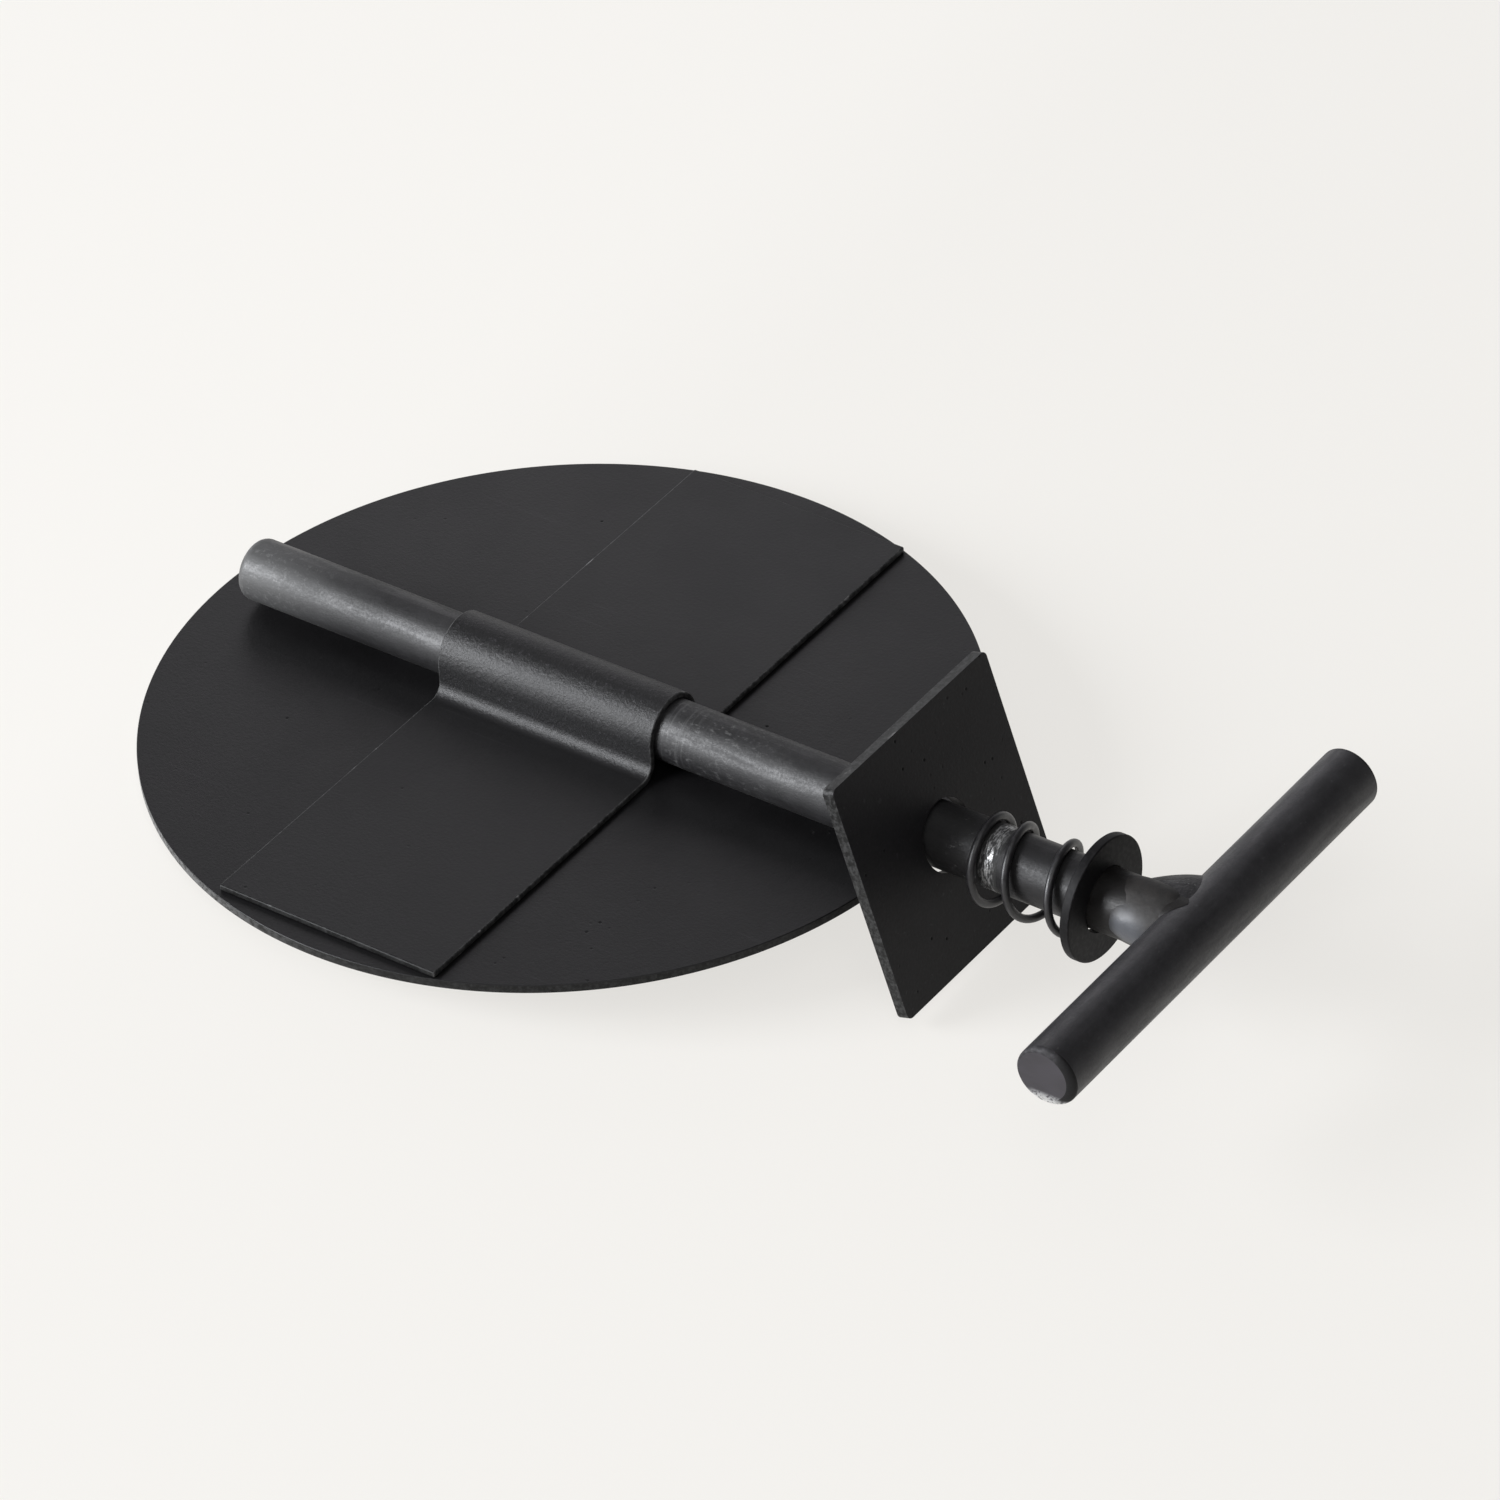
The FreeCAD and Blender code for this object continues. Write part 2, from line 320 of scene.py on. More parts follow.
class BarFinish(Finish):
    """Hot rolled round bar: satin, mottled with scale and lightly scratched along its length."""

    def __init__(self, name, dark, light, lengthwise, gloss, rough):
        super().__init__(name)
        drawn_out = tuple(0.15 if axis == lengthwise else 1.0 for axis in range(3))
        streaks = self.grain(620, 4.0, 0.6, self.stretched(drawn_out))
        scale = self.spread(self.grain(420, 5.0, 0.7), 0.36, 0.66)
        fine = self.grain(2600, 2.0, 0.6)
        self.tone = self.mix(scale, charcoal(dark), charcoal(light))
        rubs = self.spread(streaks, 0.55, 0.75)
        rubs = self.both(rubs, self.spread(self.grain(70, 3.0), 0.45, 0.7))
        self.lighten(self.both(rubs, 0.3), charcoal(light * 2.5))
        self.surface(Metallic=0.0, Specular_IOR_Level=gloss)
        patches = self.maths("ADD", self.both(streaks, 0.65), self.both(fine, 0.35))
        self.surface(Roughness=self.spread(patches, 0.36, 0.64, rough - 0.09, rough + 0.09))
        height = self.maths("ADD", self.both(fine, 0.6), self.both(streaks, 0.5))
        self.relief(self.maths("ADD", height, self.both(scale, 0.25)), 0.3, 0.12 * MM)

    def lighten(self, share, colour):
        """Lays a mark of another colour over the bar."""
        self.tone = self.mix(share, self.tone, colour)
        self.surface(Base_Color=self.tone)


def spindle_bar():
    """The long bar: lighter towards its tip and chipped there, scored and flecked beside the
    saddle, smudged beside the weld."""
    bar = BarFinish("spindle_satin", dark=0.005, light=0.009, lengthwise=ALONG_X,
                    gloss=0.56, rough=0.55)
    along = bar.along("X")
    # lighter towards the tip, fading out along the bar
    bar.lighten(bar.fade(along, TIP_LIGHTER, 0.85), grey(0.075))
    chips = bar.spread(bar.grain(1050, 5.0, 0.75), 0.54, 0.66)
    chips = bar.both(bar.fade(along, TIP_CHIPPED), chips)
    bar.lighten(bar.both(chips, 0.6), grey(0.14))
    scores = bar.grain(300, 2.0, 0.5, bar.stretched((7.0, 0.4, 0.4)))
    scores = bar.spread(scores, 0.52, 0.68)
    scored = bar.both(bar.rise(along, SCORES_BEGIN), bar.fade(along, SCORES_END))
    bar.lighten(bar.both(bar.both(scores, scored), 0.22), grey(0.10))
    flecks = bar.grain(1250, 5.0, 0.75, bar.stretched((0.6, 1.0, 1.0)))
    flecks = bar.spread(flecks, 0.53, 0.66)
    flecked = bar.both(bar.rise(along, FLECKS_BEGIN), bar.fade(along, FLECKS_END))
    bar.lighten(bar.both(bar.both(flecks, flecked), 0.5), grey(0.10))
    smudges = bar.spread(bar.grain(640, 4.0, 0.7), 0.60, 0.74)
    bar.lighten(bar.both(smudges, bar.rise(along, SMUDGES_BEGIN, 0.7)), grey(0.22))
    return bar


def stub_bar():
    """The handle's short bar: drab, and burnt brown between the washer and the weld, darkened there
    also as painted shade from the washer.
    """
    bar = BarFinish("stub_satin", dark=0.005, light=0.010, lengthwise=ALONG_X,
                    gloss=0.36, rough=0.52)
    # burnt brown and painted shade: past the washer the stub is darkened, partly standing for the
    # washer's shadow
    bar.lighten(bar.rise(bar.along("X"), STUB_BURNT_AND_SHADED, 0.8), (0.004, 0.003, 0.0025, 1))
    return bar


def handle_satin():
    """The cross bar: dark satin with small rubbed flecks."""
    bar = BarFinish("handle_bar_satin", dark=0.014, light=0.020, lengthwise=ALONG_Y,
                    gloss=0.5, rough=0.5)
    flecks = bar.grain(1100, 5.0, 0.75, bar.stretched((1.0, 0.5, 1.0)))
    bar.lighten(bar.both(bar.spread(flecks, 0.60, 0.72), 0.35), grey(0.08))
    return bar


def bare_weld():
    """Ground butt weld: bright metal, streaked round the bar and dark along its edges."""
    weld = Finish("bare_weld")
    streaks = weld.grain(850, 4.0, 0.7, weld.stretched((2.6, 0.7, 0.7)))
    from_middle = weld.maths("SUBTRACT", weld.along("X"), BUTT_WELD_X)
    from_middle = weld.maths("ABSOLUTE", from_middle, 0.0)
    bright = weld.both(weld.spread(streaks, 0.45, 0.64), weld.fade(from_middle, WELD_BRIGHT))
    weld.surface(Base_Color=weld.mix(bright, grey(0.020), grey(0.46)))
    weld.surface(Metallic=weld.spread(bright, 0.0, 1.0, 0.3, 1.0))
    weld.surface(Roughness=weld.spread(bright, 0.0, 1.0, 0.58, 0.30))
    grit = weld.grain(2300, 2.0, 0.6)
    weld.relief(weld.maths("ADD", streaks, weld.both(grit, 0.4)), 0.6, 0.3 * MM)
    return weld


def fillet_bead():
    """Fillet weld under the dark finish: lumpy and dull."""
    bead = Finish("fillet_bead")
    lumps = bead.grain(330, 3.0, 0.55)
    grit = bead.grain(1800, 2.0)
    tone = bead.mix(bead.spread(lumps, 0.35, 0.68), charcoal(0.006), charcoal(0.016))
    tone = bead.mix(bead.spread(grit, 0.66, 0.73), tone, grey(0.10))
    bead.surface(Base_Color=tone, Metallic=0.0, Specular_IOR_Level=0.3)
    bead.surface(Roughness=bead.spread(lumps, 0.3, 0.7, 0.56, 0.46))
    bead.relief(bead.maths("ADD", lumps, bead.both(grit, 0.25)), 0.6, 0.7 * MM)
    return bead


def collar_bead():
    """Weld metal where the stub meets the cross bar: burnt brown, with one bead smoother and
    painted lighter and bluish round one place, a painted highlight."""
    bead = Finish("collar_bead")
    lumps = bead.grain(520, 4.0, 0.6)
    # painted highlight: lighter bluish colour round one place on the front bead, where the low
    # light at the front left shines; smoother there too
    ends = {0: bead.place, 1: BEAD_HIGHLIGHT_PLACE}
    apart = bead.node("ShaderNodeVectorMath", ends, operation="DISTANCE").outputs["Value"]
    apart = bead.maths("ADD", apart, bead.both(lumps, BEAD_HIGHLIGHT_RAGGED))
    wear_and_painted_light = bead.fade(apart, BEAD_PAINTED_HIGHLIGHT)
    darker_part = bead.mix(bead.spread(lumps, 0.35, 0.65),
                     (0.006, 0.005, 0.0045, 1), (0.013, 0.011, 0.010, 1))
    bead.surface(Base_Color=bead.mix(wear_and_painted_light, darker_part, (0.055, 0.058, 0.066, 1)))
    bead.surface(Metallic=0.0, Specular_IOR_Level=0.45)
    bead.surface(Roughness=bead.spread(wear_and_painted_light, 0.0, 1.0, 0.62, 0.42))
    bead.relief(lumps, 0.35, 0.3 * MM)
    return bead


def spring_wire():
    """Black satin wire with faint drawing marks."""
    wire = Finish("spring_wire")
    fine = wire.grain(1500, 3.0, 0.6)
    tone = wire.mix(wire.spread(fine, 0.3, 0.7), charcoal(0.007), charcoal(0.016))
    wire.surface(Base_Color=tone, Metallic=0.0)
    wire.surface(Roughness=wire.spread(fine, 0.3, 0.7, 0.36, 0.46))
    wire.relief(fine, 0.1, 0.08 * MM)
    return wire


def punched_washer():
    """Dark punched washer, finely grained."""
    ring = Finish("punched_washer")
    fine = ring.grain(1400, 3.0, 0.6)
    clouds = ring.spread(ring.grain(190, 3.0), 0.36, 0.64)
    tone = ring.mix(clouds, charcoal(0.004), charcoal(0.006))
    tone = ring.mix(ring.spread(fine, 0.45, 0.75, 0.0, 0.4), tone, charcoal(0.018))
    ring.surface(Base_Color=tone, Metallic=0.0, Specular_IOR_Level=0.14)
    ring.surface(Roughness=ring.spread(fine, 0.3, 0.7, 0.50, 0.62))
    ring.relief(fine, 0.2, 0.1 * MM)
    return ring


def sawn_end():
    """Sawn end of the cross bar: purplish grey, rubbed bare at the bottom."""
    end = Finish("sawn_end")
    cuts = end.grain(700, 3.0, 0.55, end.stretched((0.3, 1.0, 1.0), (0, 0.5, 0)))
    tone = end.mix(end.spread(cuts, 0.3, 0.75),
                   (0.018, 0.016, 0.020, 1), (0.027, 0.024, 0.030, 1))
    ragged = end.spread(end.grain(2200, 4.0), 0.34, 0.52)
    wear_and_painted_light = end.both(end.fade(end.along("Z"), END_BARE_Z), ragged)
    wear_and_painted_light = end.both(wear_and_painted_light, end.rise(end.along("X"), END_BARE_X))
    end.surface(Base_Color=end.mix(wear_and_painted_light, tone, grey(0.5)), Metallic=end.both(wear_and_painted_light, 0.9))
    end.surface(Roughness=end.spread(cuts, 0.3, 0.7, 0.46, 0.56))
    end.relief(cuts, 0.15, 0.1 * MM)
    return end


def dark_sided_rim():
    """Rounded rim of the cross bar's ends: darker on the outer side, and rubbed bare at the bottom."""
    rim = Finish("dark_sided_rim")
    grit = rim.grain(1500, 4.0, 0.7)
    # the rim is darker on its outer side
    darker_part = rim.rise(rim.along("X"), BAR_RIM_DARKER_SIDE)
    tone = rim.mix(rim.spread(grit, 0.4, 0.7), charcoal(0.016), charcoal(0.040))
    tone = rim.mix(darker_part, tone, charcoal(0.004))
    bare = rim.both(rim.fade(rim.along("Z"), BAR_RIM_BARE), rim.spread(grit, 0.34, 0.50))
    tone = rim.mix(bare, tone, grey(0.75))
    rim.surface(Base_Color=tone, Metallic=bare, Specular_IOR_Level=0.25)
    rim.surface(Roughness=rim.spread(bare, 0.0, 1.0, 0.62, 0.40))
    rim.relief(grit, 0.4, 0.15 * MM)
    return rim


def only_verts(geometry):
    return [v for v in geometry if isinstance(v, bmesh.types.BMVert)]


def sharp_edges(bm):
    return [e for e in bm.edges
            if len(e.link_faces) == 2 and e.calc_face_angle() > CORNER_ANGLE]


def round_edges(bm, edges, size, segments):
    bmesh.ops.bevel(bm, geom=edges, offset=size, offset_type="OFFSET", segments=segments,
                    profile=0.5, affect="EDGES", material=-1, clamp_overlap=True)


def close_up(bm):
    bmesh.ops.remove_doubles(bm, verts=bm.verts, dist=SAME_PLACE)
    bmesh.ops.recalc_face_normals(bm, faces=bm.faces)


def thicken(bm, step):
    """Draws flat faces out to a slab."""
    raised = bmesh.ops.extrude_face_region(bm, geom=list(bm.faces))
    bmesh.ops.translate(bm, verts=only_verts(raised["geom"]), vec=step)


def draw_out(bm, step):
    """Draws an edge line out to a sheet."""
    drawn = bmesh.ops.extrude_edge_only(bm, edges=list(bm.edges))
    bmesh.ops.translate(bm, verts=only_verts(drawn["geom"]), vec=step)


def turn_on(bm, end, centre, degrees, steps):
    """Carries an edge line on round a bend, and returns its new last vertex."""
    made = bmesh.ops.spin(bm, geom=[end], cent=centre, axis=AXIS_X,
                          angle=math.radians(degrees), steps=steps)
    return only_verts(made["geom_last"])[0]


def run_on(bm, end, step):
    """Carries an edge line straight on, and returns its new last vertex."""
    made = bmesh.ops.extrude_vert_indiv(bm, verts=[end])
    bmesh.ops.translate(bm, verts=made["verts"], vec=step)
    return made["verts"][0]


def turned_ring(profile, sides):
    """Closed section of places along X and radii, turned once round the spindle's axis."""
    bm = bmesh.new()
    line = [bm.verts.new((x, 0, radius)) for x, radius in profile]
    for first, second in zip(line, line[1:] + line[:1]):
        bm.edges.new((first, second))
    bmesh.ops.spin(bm, geom=list(bm.edges) + line, cent=(0, 0, 0), axis=AXIS_X,
                   angle=math.tau, steps=sides, use_merge=True)
    close_up(bm)
    return bm


def lumpy(point, size, height):
    """Height of a weld's lumps at a point, finer ones among them, the same each time."""
    return (noise.noise(point / size) + noise.noise(point / (size * 0.45)) * 0.5) * height


def raise_skin(bm, skin, height):
    """Moves the points outside the skin's radius outwards by the height at each."""
    for v in bm.verts:
        radial = Vector((0, v.co.y, v.co.z))
        if radial.length > skin:
            v.co += radial.normalized() * height(v.co)


def paint_faces(bm, test, index):
    for face in bm.faces:
        if test(face):
            face.material_index = index


def set_down(name, bm, finishes, node, body):
    """Makes the finished piece an object that moves with its body, and stands for its solid
    where it has one."""
    mesh = bpy.data.meshes.new(name)
    bm.to_mesh(mesh)
    bm.free()
    mesh.shade_smooth()
    mesh.set_sharp_from_angle(angle=SHADING_ANGLE)
    for finish in finishes:
        mesh.materials.append(finish.material)
    piece = bpy.data.objects.new(name, mesh)
    bpy.context.scene.collection.objects.link(piece)
    even = piece.modifiers.new("even_shading", "WEIGHTED_NORMAL")
    even.weight = 100
    even.keep_sharp = True
    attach(piece, body)
    if node:
        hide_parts(node)
    return piece


def blade_disc(sheet, edge):
    bm = bmesh.new()
    bmesh.ops.create_circle(bm, cap_ends=True, segments=BLADE_SIDES, radius=BLADE_RADIUS)
    thicken(bm, AXIS_Z * BLADE_THICKNESS)
    bmesh.ops.translate(bm, verts=bm.verts, vec=AXIS_Z * (BLADE_TOP - BLADE_THICKNESS))
    close_up(bm)
    round_edges(bm, sharp_edges(bm), BLADE_ROUNDING, segments=2)
    close_up(bm)
    paint_faces(bm, lambda f: abs(f.normal.z) < CUT_EDGE_Z, 1)
    set_down("blade", bm, (sheet, edge), "blade_disc", "blade")


def saddle_strap(sheet, edge, end):
    """Strip bent up over the spindle: one edge line, drawn out to the strip's width and given
    its thickness."""
    foot_y = ARCH_INSIDE + FOOT_BEND
    flat_run = STRAP_HALF_LENGTH - foot_y
    foot_z = BLADE_TOP + FOOT_BEND
    bm = bmesh.new()
    last = bm.verts.new((STRAP_START, -STRAP_HALF_LENGTH, BLADE_TOP))
    last = run_on(bm, last, AXIS_Y * flat_run)
    last = turn_on(bm, last, (0, -foot_y, foot_z), 90, FOOT_STEPS)
    last = run_on(bm, last, AXIS_Z * -foot_z)
    last = turn_on(bm, last, (0, 0, 0), -180, ARCH_STEPS)
    last = run_on(bm, last, AXIS_Z * foot_z)
    last = turn_on(bm, last, (0, foot_y, foot_z), 90, FOOT_STEPS)
    run_on(bm, last, AXIS_Y * flat_run)
    bmesh.ops.remove_doubles(bm, verts=bm.verts, dist=SAME_PLACE)
    draw_out(bm, AXIS_X * STRAP_WIDTH)
    close_up(bm)
    flat = min(bm.faces, key=lambda f: f.calc_center_median().y)
    if flat.normal.z > 0:
        bmesh.ops.reverse_faces(bm, faces=bm.faces)
    bmesh.ops.solidify(bm, geom=list(bm.faces), thickness=STRAP_THICKNESS)
    close_up(bm)
    round_edges(bm, sharp_edges(bm), STRAP_ROUNDING, segments=3)
    close_up(bm)
    end_y = STRAP_HALF_LENGTH - STRAP_END_BAND
    paint_faces(bm, lambda f: abs(f.calc_center_median().y) > end_y, 2)
    paint_faces(bm, lambda f: abs(f.normal.x) > STRAP_SIDE_X, 1)
    set_down("strap", bm, (sheet, edge, end), "saddle_strap", "blade")


def wall_plate(sheet, edge):
    """Square plate with a round hole, made flat and then stood up on its lean."""
    bm = bmesh.new()
    bmesh.ops.create_grid(bm, x_segments=1, y_segments=1, size=PLATE_SIDE / 2)
    bmesh.ops.bevel(bm, geom=list(bm.verts), offset=PLATE_CORNER, offset_type="OFFSET",
                    segments=PLATE_CORNER_STEPS, profile=0.5, affect="VERTICES", material=-1)
    bmesh.ops.delete(bm, geom=list(bm.faces), context="FACES_ONLY")
    bmesh.ops.create_circle(bm, cap_ends=False, segments=PLATE_HOLE_SIDES, radius=PLATE_HOLE)
    bmesh.ops.triangle_fill(bm, use_beauty=True, use_dissolve=False, edges=list(bm.edges))
    thicken(bm, AXIS_Z * PLATE_THICKNESS)
    bmesh.ops.translate(bm, verts=bm.verts, vec=AXIS_Z * (-PLATE_THICKNESS / 2))
    close_up(bm)
    round_edges(bm, sharp_edges(bm), PLATE_ROUNDING, segments=2)
    close_up(bm)

    def outer_edge(face):
        outside = face.calc_center_median().length > 2 * PLATE_HOLE
        return outside and abs(face.normal.z) < CUT_EDGE_Z

    paint_faces(bm, outer_edge, 1)
    stand = Matrix.Rotation(math.pi / 2 - PLATE_LEAN, 4, "Y")
    stand = Matrix.Translation(AXIS_X * PLATE_X) @ stand
    bmesh.ops.transform(bm, matrix=stand, verts=bm.verts)
    set_down("plate", bm, (sheet, edge), "wall_plate", "wall_plate")


def washer(ring):
    bm = bmesh.new()
    lower = bm.verts.new((WASHER_BACK, 0, WASHER_HANG + WASHER_HOLE))
    upper = bm.verts.new((WASHER_BACK, 0, WASHER_HANG + WASHER_RADIUS))
    line = bm.edges.new((lower, upper))
    bmesh.ops.spin(bm, geom=[line, lower, upper], cent=(0, 0, WASHER_HANG), axis=AXIS_X,
                   angle=math.tau, steps=WASHER_SIDES, use_merge=True)
    close_up(bm)
    thicken(bm, AXIS_X * WASHER_THICKNESS)
    close_up(bm)
    halfway = (WASHER_HOLE + WASHER_RADIUS) / 2

    def radius_of(edge):
        return (edge.verts[0].co.yz - Vector((0, WASHER_HANG))).length

    hole = [e for e in sharp_edges(bm) if radius_of(e) < halfway]
    round_edges(bm, hole, WASHER_HOLE_ROUNDING, segments=2)
    rim = [e for e in sharp_edges(bm) if radius_of(e) > halfway]
    round_edges(bm, rim, WASHER_RIM_ROUNDING, segments=3)
    close_up(bm)
    set_down("washer_ring", bm, (ring,), "washer", "washer")


def coil_x(share):
    """Place along X of the wire's middle, its pitch closing up at both ends."""
    run = share - COIL_CLOSING * math.sin(math.tau * share) / math.tau
    return COIL_END_X - COIL_LENGTH * (1 - run)


def spring(wire):
    """Wire turned step by step round the spindle, each step moved on by the pitch there."""
    bm = bmesh.new()
    upright = Matrix.Translation((coil_x(0), 0, COIL_HANG + COIL_RADIUS))
    upright = upright @ Matrix.Rotation(math.pi / 2, 4, "X")
    bmesh.ops.create_circle(bm, cap_ends=True, segments=WIRE_SIDES, radius=WIRE_RADIUS,
                            matrix=upright)
    bmesh.ops.rotate(bm, verts=bm.verts, cent=(0, 0, COIL_HANG),
                     matrix=Matrix.Rotation(COIL_START * math.tau, 3, "X"))
    section = list(bm.faces) + list(bm.edges) + list(bm.verts)
    for i in range(COIL_STEPS):
        move = coil_x((i + 1) / COIL_STEPS) - coil_x(i / COIL_STEPS)
        made = bmesh.ops.spin(bm, geom=section, cent=(0, 0, COIL_HANG), axis=AXIS_X,
                              dvec=AXIS_X * move, angle=COIL_TURNS * math.tau / COIL_STEPS,
                              steps=1)
        section = made["geom_last"]
    close_up(bm)
    round_edges(bm, sharp_edges(bm), WIRE_ROUNDING, segments=2)
    close_up(bm)
    piece = set_down("coil", bm, (wire,), "spring", "spring")
    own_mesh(piece)


def cross_bar(bar, end, rim):
    """Round bar with rounded ends, worn a little to one side."""
    bm = bmesh.new()
    lay = Matrix.Translation((BAR_X, BAR_SHIFT, 0)) @ Matrix.Rotation(math.pi / 2, 4, "X")
    bmesh.ops.create_cone(bm, cap_ends=True, cap_tris=False, segments=BAR_SIDES,
                          radius1=ROD_RADIUS, radius2=ROD_RADIUS, depth=BAR_LENGTH, matrix=lay)
    close_up(bm)
    round_edges(bm, sharp_edges(bm), BAR_ROUNDING, segments=5)
    close_up(bm)
    paint_faces(bm, lambda f: abs(f.normal.y) > BAR_RIM_Y, 2)
    paint_faces(bm, lambda f: abs(f.normal.y) > BAR_END_Y, 1)
    for v in bm.verts:
        depth = BAR_LENGTH / 2 - abs(v.co.y - BAR_SHIFT)
        v.co.x -= BAR_WORN_ASIDE * max(0.0, 1 - depth / BAR_ROUNDING) ** 2
    set_down("cross_bar", bm, (bar, end, rim), "handle_bar", "spindle")


def butt_weld(weld):
    """Low lumpy crown of weld metal in the groove between the two bars."""
    half = BUTT_WELD_HALF
    profile = [(-half, BUTT_WELD_ROOT), (-half, BUTT_WELD_EDGE)]
    profile += [(half * share, BUTT_WELD_CROWN) for share in (-0.75, -0.4, 0.0, 0.4, 0.75)]
    profile += [(half, BUTT_WELD_EDGE), (half, BUTT_WELD_ROOT)]
    bm = turned_ring([(BUTT_WELD_X + x, radius) for x, radius in profile], BUTT_WELD_SIDES)
    raise_skin(bm, BUTT_WELD_SKIN, lambda p: lumpy(p, BUTT_WELD_LUMP, BUTT_WELD_LUMP_HEIGHT))
    set_down("butt_weld_ring", bm, (weld,), "butt_weld", "spindle")


def weld_collar(bead):
    """Low ring of four weld beads round the stub's end, running out under the stub's skin on
    both sides."""
    rows = list(COLLAR_ROWS)
    rows += [(COLLAR_ROWS[-1][0], COLLAR_ROOT), (COLLAR_ROWS[0][0], COLLAR_ROOT)]
    bm = turned_ring([(x * MM, radius * MM) for x, radius in rows], COLLAR_SIDES)

    def beads(point):
        turn = math.atan2(point.z, point.y) - COLLAR_FIRST_BEAD
        swell = COLLAR_SWELL * math.cos(COLLAR_BEADS * turn)
        return swell + lumpy(point, COLLAR_LUMP, COLLAR_LUMP_HEIGHT)

    raise_skin(bm, COLLAR_SKIN, beads)
    set_down("weld_collar", bm, (bead,), None, "spindle")


def dress(node, finish):
    """Gives a carried-over solid its finish."""
    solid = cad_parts[node]
    solid.data.materials.clear()
    solid.data.materials.append(finish.material)


def damper():
    blade_disc(blackened_sheet("blade_charcoal", dark=0.0028, light=0.0040, gloss=0.32,
                               rough=0.40, sound=0.58),
               # the blade's rim takes the painted light on its left side
               sheared_edge("blade_edge", dark=0.008, light=0.026, wear_and_painted_light=1.0))
    saddle_strap(blackened_sheet("strap_charcoal", dark=0.0030, light=0.0048, gloss=0.37,
                                 rough=0.46, sound=0.60, pressed=True),
                 # the strap's long cut sides are painted lighter than its ends: a painted highlight
                 # along the edges
                 sheared_edge("strap_side_painted_highlight", dark=0.024, light=0.075),
                 sheared_edge("strap_end", dark=0.007, light=0.024))
    wall_plate(blackened_sheet("plate_charcoal", dark=0.0068, light=0.0098, gloss=0.15,
                               rough=0.46, sound=0.46),
               sheared_edge("plate_edge", dark=0.009, light=0.044))
    washer(punched_washer())
    spring(spring_wire())
    cross_bar(handle_satin(), sawn_end(), dark_sided_rim())
    butt_weld(bare_weld())
    weld_collar(collar_bead())
    dress("spindle_rod", spindle_bar())
    dress("handle_stub", stub_bar())
    dress("handle_weld", fillet_bead())


def table_paper():
    """Pale paper, seen at its own colour, that takes a softened shadow."""
    paper = Finish("pale_table")
    paper.surface(Base_Color=(0.90, 0.885, 0.855, 1), Roughness=0.9, Specular_IOR_Level=0.1)
    rays = paper.node("ShaderNodeLightPath").outputs
    seen = paper.maths("MAXIMUM", rays["Is Camera Ray"], rays["Is Glossy Ray"])
    seen = paper.maths("MAXIMUM", seen, rays["Is Transmission Ray"])
    colour = {"Color": (0.895, 0.877, 0.843, 1), "Strength": 1.0}
    own = paper.node("ShaderNodeEmission", colour)
    blend = paper.node("ShaderNodeMixShader", {0: paper.both(seen, PAPER_OWN_COLOUR)})
    paper.feed(blend.inputs[1], paper.shader.outputs[0])
    paper.feed(blend.inputs[2], own.outputs[0])
    paper.feed(paper.tree.nodes["Material Output"].inputs["Surface"], blend.outputs[0])
    return paper


def floor():
    """Pale paper: level out from the blade's left rim, where the blade slides back, and
    falling away under the wall plate, clear of the plate's lower edge at a quarter turn."""
    level = BLADE_TOP - BLADE_THICKNESS - PAPER_GAP
    fall = (level - PLATE_FOOT_Z) / (PLATE_FOOT_X + BLADE_RADIUS - PAPER_BEND / 2)
    bm = bmesh.new()
    end = bmesh.ops.create_vert(bm, co=(-PAPER_REACH, -PAPER_REACH, level))["vert"][0]
    end = run_on(bm, end, AXIS_X * (PAPER_REACH - BLADE_RADIUS))
    for step in range(PAPER_STEPS):
        slope = fall * (step + 0.5) / PAPER_STEPS
        end = run_on(bm, end, (AXIS_X - AXIS_Z * slope) * (PAPER_BEND / PAPER_STEPS))
    run_on(bm, end, (AXIS_X - AXIS_Z * fall) * PAPER_REACH)
    draw_out(bm, AXIS_Y * 2 * PAPER_REACH)
    bm.normal_update()
    bmesh.ops.reverse_faces(bm, faces=[f for f in bm.faces if f.normal.z < 0])
    mesh = bpy.data.meshes.new("table_top")
    bm.to_mesh(mesh)
    bm.free()
    mesh.shade_smooth()
    mesh.materials.append(table_paper().material)
    top = bpy.data.objects.new("table_top", mesh)
    bpy.context.scene.collection.objects.link(top)


def lamp(name, place, aim, size, power, tint=(1, 1, 1)):
    light = bpy.data.lights.new(name, "AREA")
    light.shape = "RECTANGLE"
    light.size, light.size_y = size
    light.energy = power
    light.color = tint
    body = bpy.data.objects.new(name, light)
    body.location = place
    body.rotation_euler = (Vector(aim) - Vector(place)).to_track_quat("-Z", "Y").to_euler()
    body.visible_camera = False
    bpy.context.scene.collection.objects.link(body)


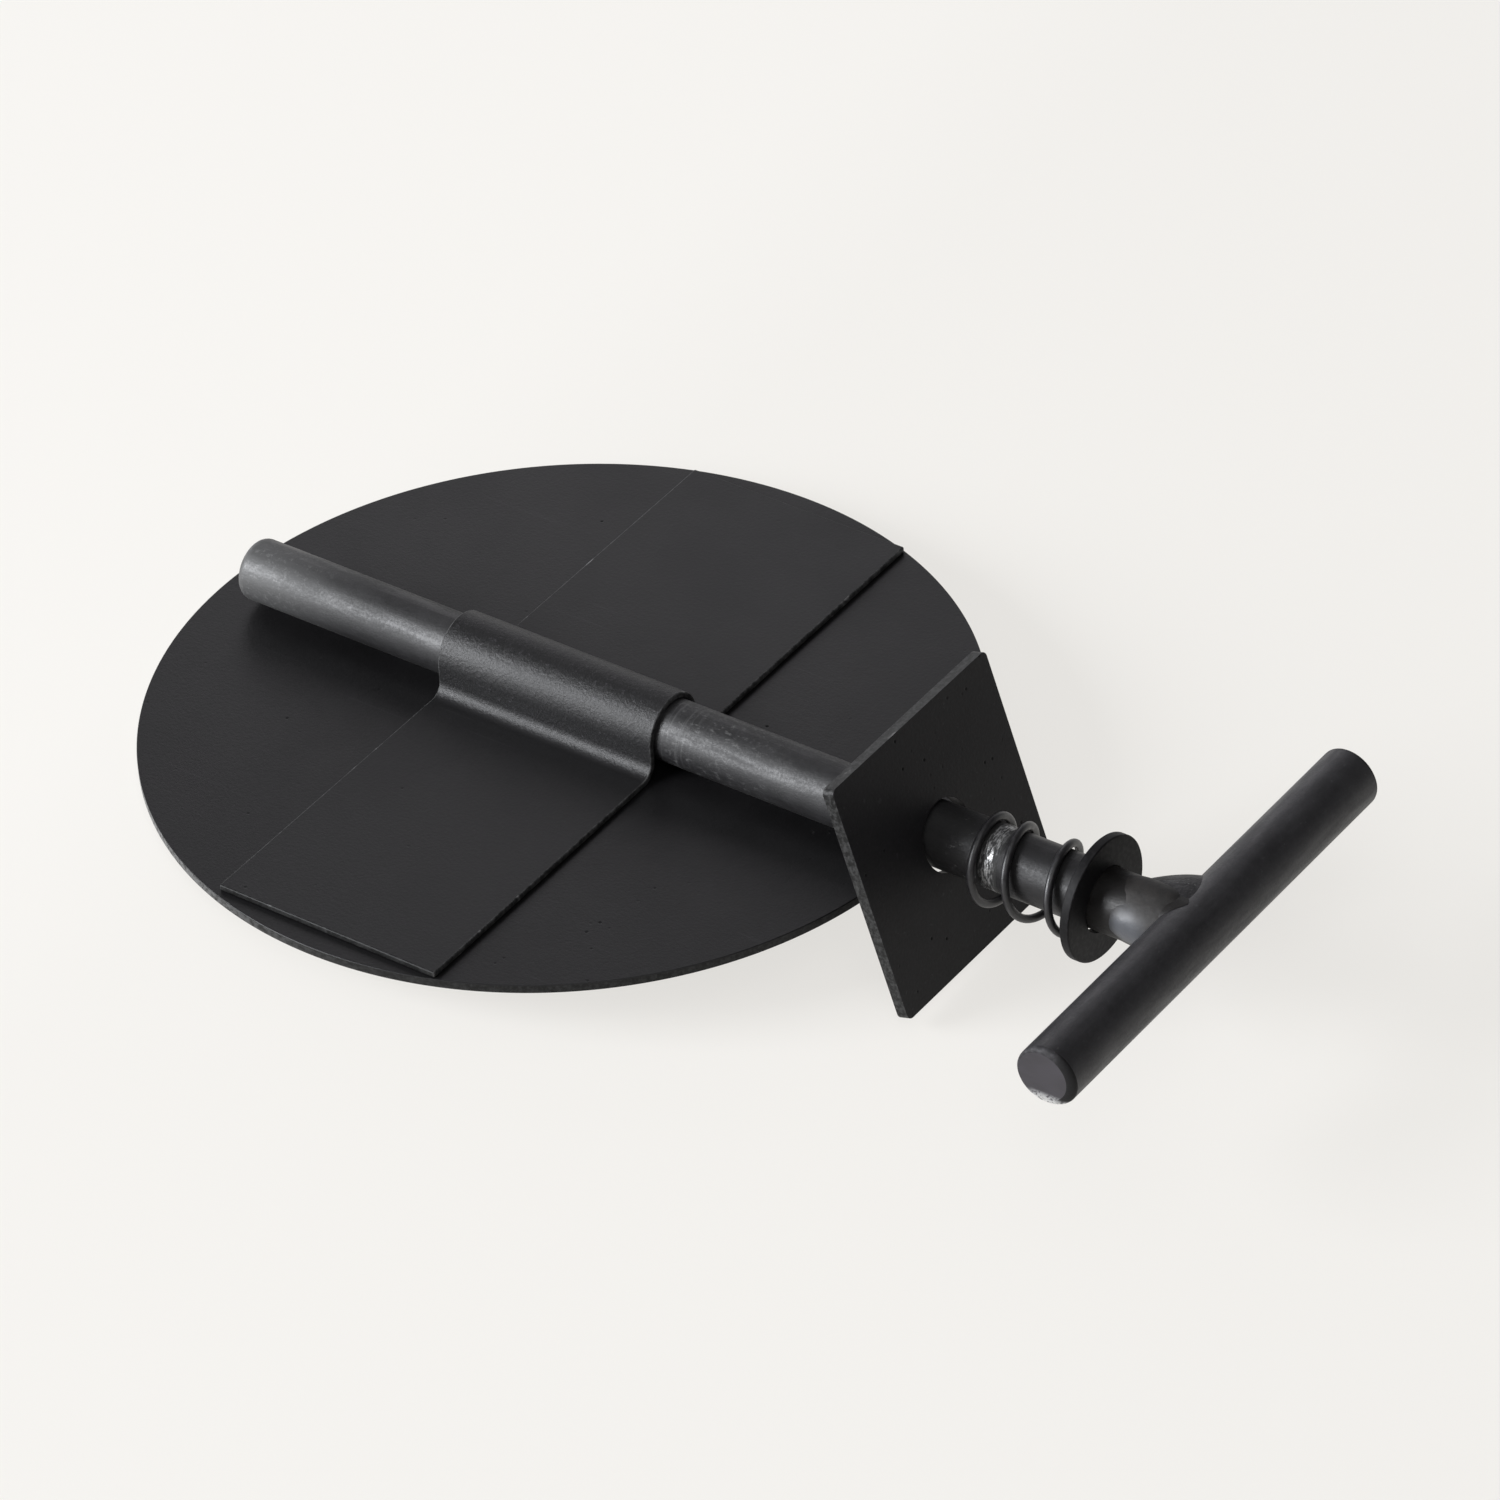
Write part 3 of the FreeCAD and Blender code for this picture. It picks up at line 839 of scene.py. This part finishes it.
def walls():
    """Studio walls, brighter low down and at the left."""
    world = bpy.data.worlds.new("studio_walls")
    world.use_nodes = True
    tree = world.node_tree
    way = tree.nodes.new("ShaderNodeTexCoord").outputs["Generated"]
    parts = tree.nodes.new("ShaderNodeSeparateXYZ")
    tree.links.new(way, parts.inputs[0])
    product = tree.nodes.new("ShaderNodeMath")
    product.operation = "MULTIPLY"
    for (axis, *levels), socket in zip((WALLS_BY_HEIGHT, WALLS_BY_SIDE), product.inputs):
        level = tree.nodes.new("ShaderNodeMapRange")
        level.interpolation_type = "SMOOTHSTEP"
        tree.links.new(parts.outputs[axis], level.inputs["Value"])
        for key, value in zip(("From Min", "From Max", "To Min", "To Max"), levels):
            level.inputs[key].default_value = value
        tree.links.new(level.outputs[0], socket)
    background = tree.nodes["Background"]
    background.inputs["Color"].default_value = WALL_TINT
    tree.links.new(product.outputs[0], background.inputs["Strength"])
    bpy.context.scene.world = world


def studio():
    """Soft light: a low softbox at the front left, a small panel behind that the flat sheets
    mirror, and weaker ones over the camera and overhead."""
    lamp("low_left_softbox", place=(-1.00, -1.22, 0.74), aim=(0, 0, 0), size=(0.85, 0.95),
         power=60, tint=(0.95, 0.97, 1.0))
    lamp("back_left_panel", place=(-0.29, 0.365, 0.305), aim=(-0.04, 0.04, 0),
         size=(0.26, 0.26), power=0.215, tint=(0.985, 0.955, 1.0))
    lamp("camera_side_softbox", place=(1.2, -1.4, 2.2), aim=(0.02, 0, 0), size=(1.6, 1.6),
         power=19)
    lamp("overhead_panel", place=(0.02, 0, 1.6), aim=(0.02, 0, 0), size=(1.2, 1.2), power=2.4)
    walls()


def camera():
    lens = bpy.data.cameras.new("camera")
    lens.lens = CAMERA_LENS
    lens.sensor_width = CAMERA_SENSOR
    lens.clip_end = CAMERA_REACH
    body = bpy.data.objects.new("camera", lens)
    body.location = CAMERA_PLACE
    body.rotation_euler = [math.radians(angle) for angle in CAMERA_TURN]
    bpy.context.scene.collection.objects.link(body)
    bpy.context.scene.camera = body


damper()
floor()
studio()
camera()
bpy.context.scene.view_settings.view_transform = "Standard"
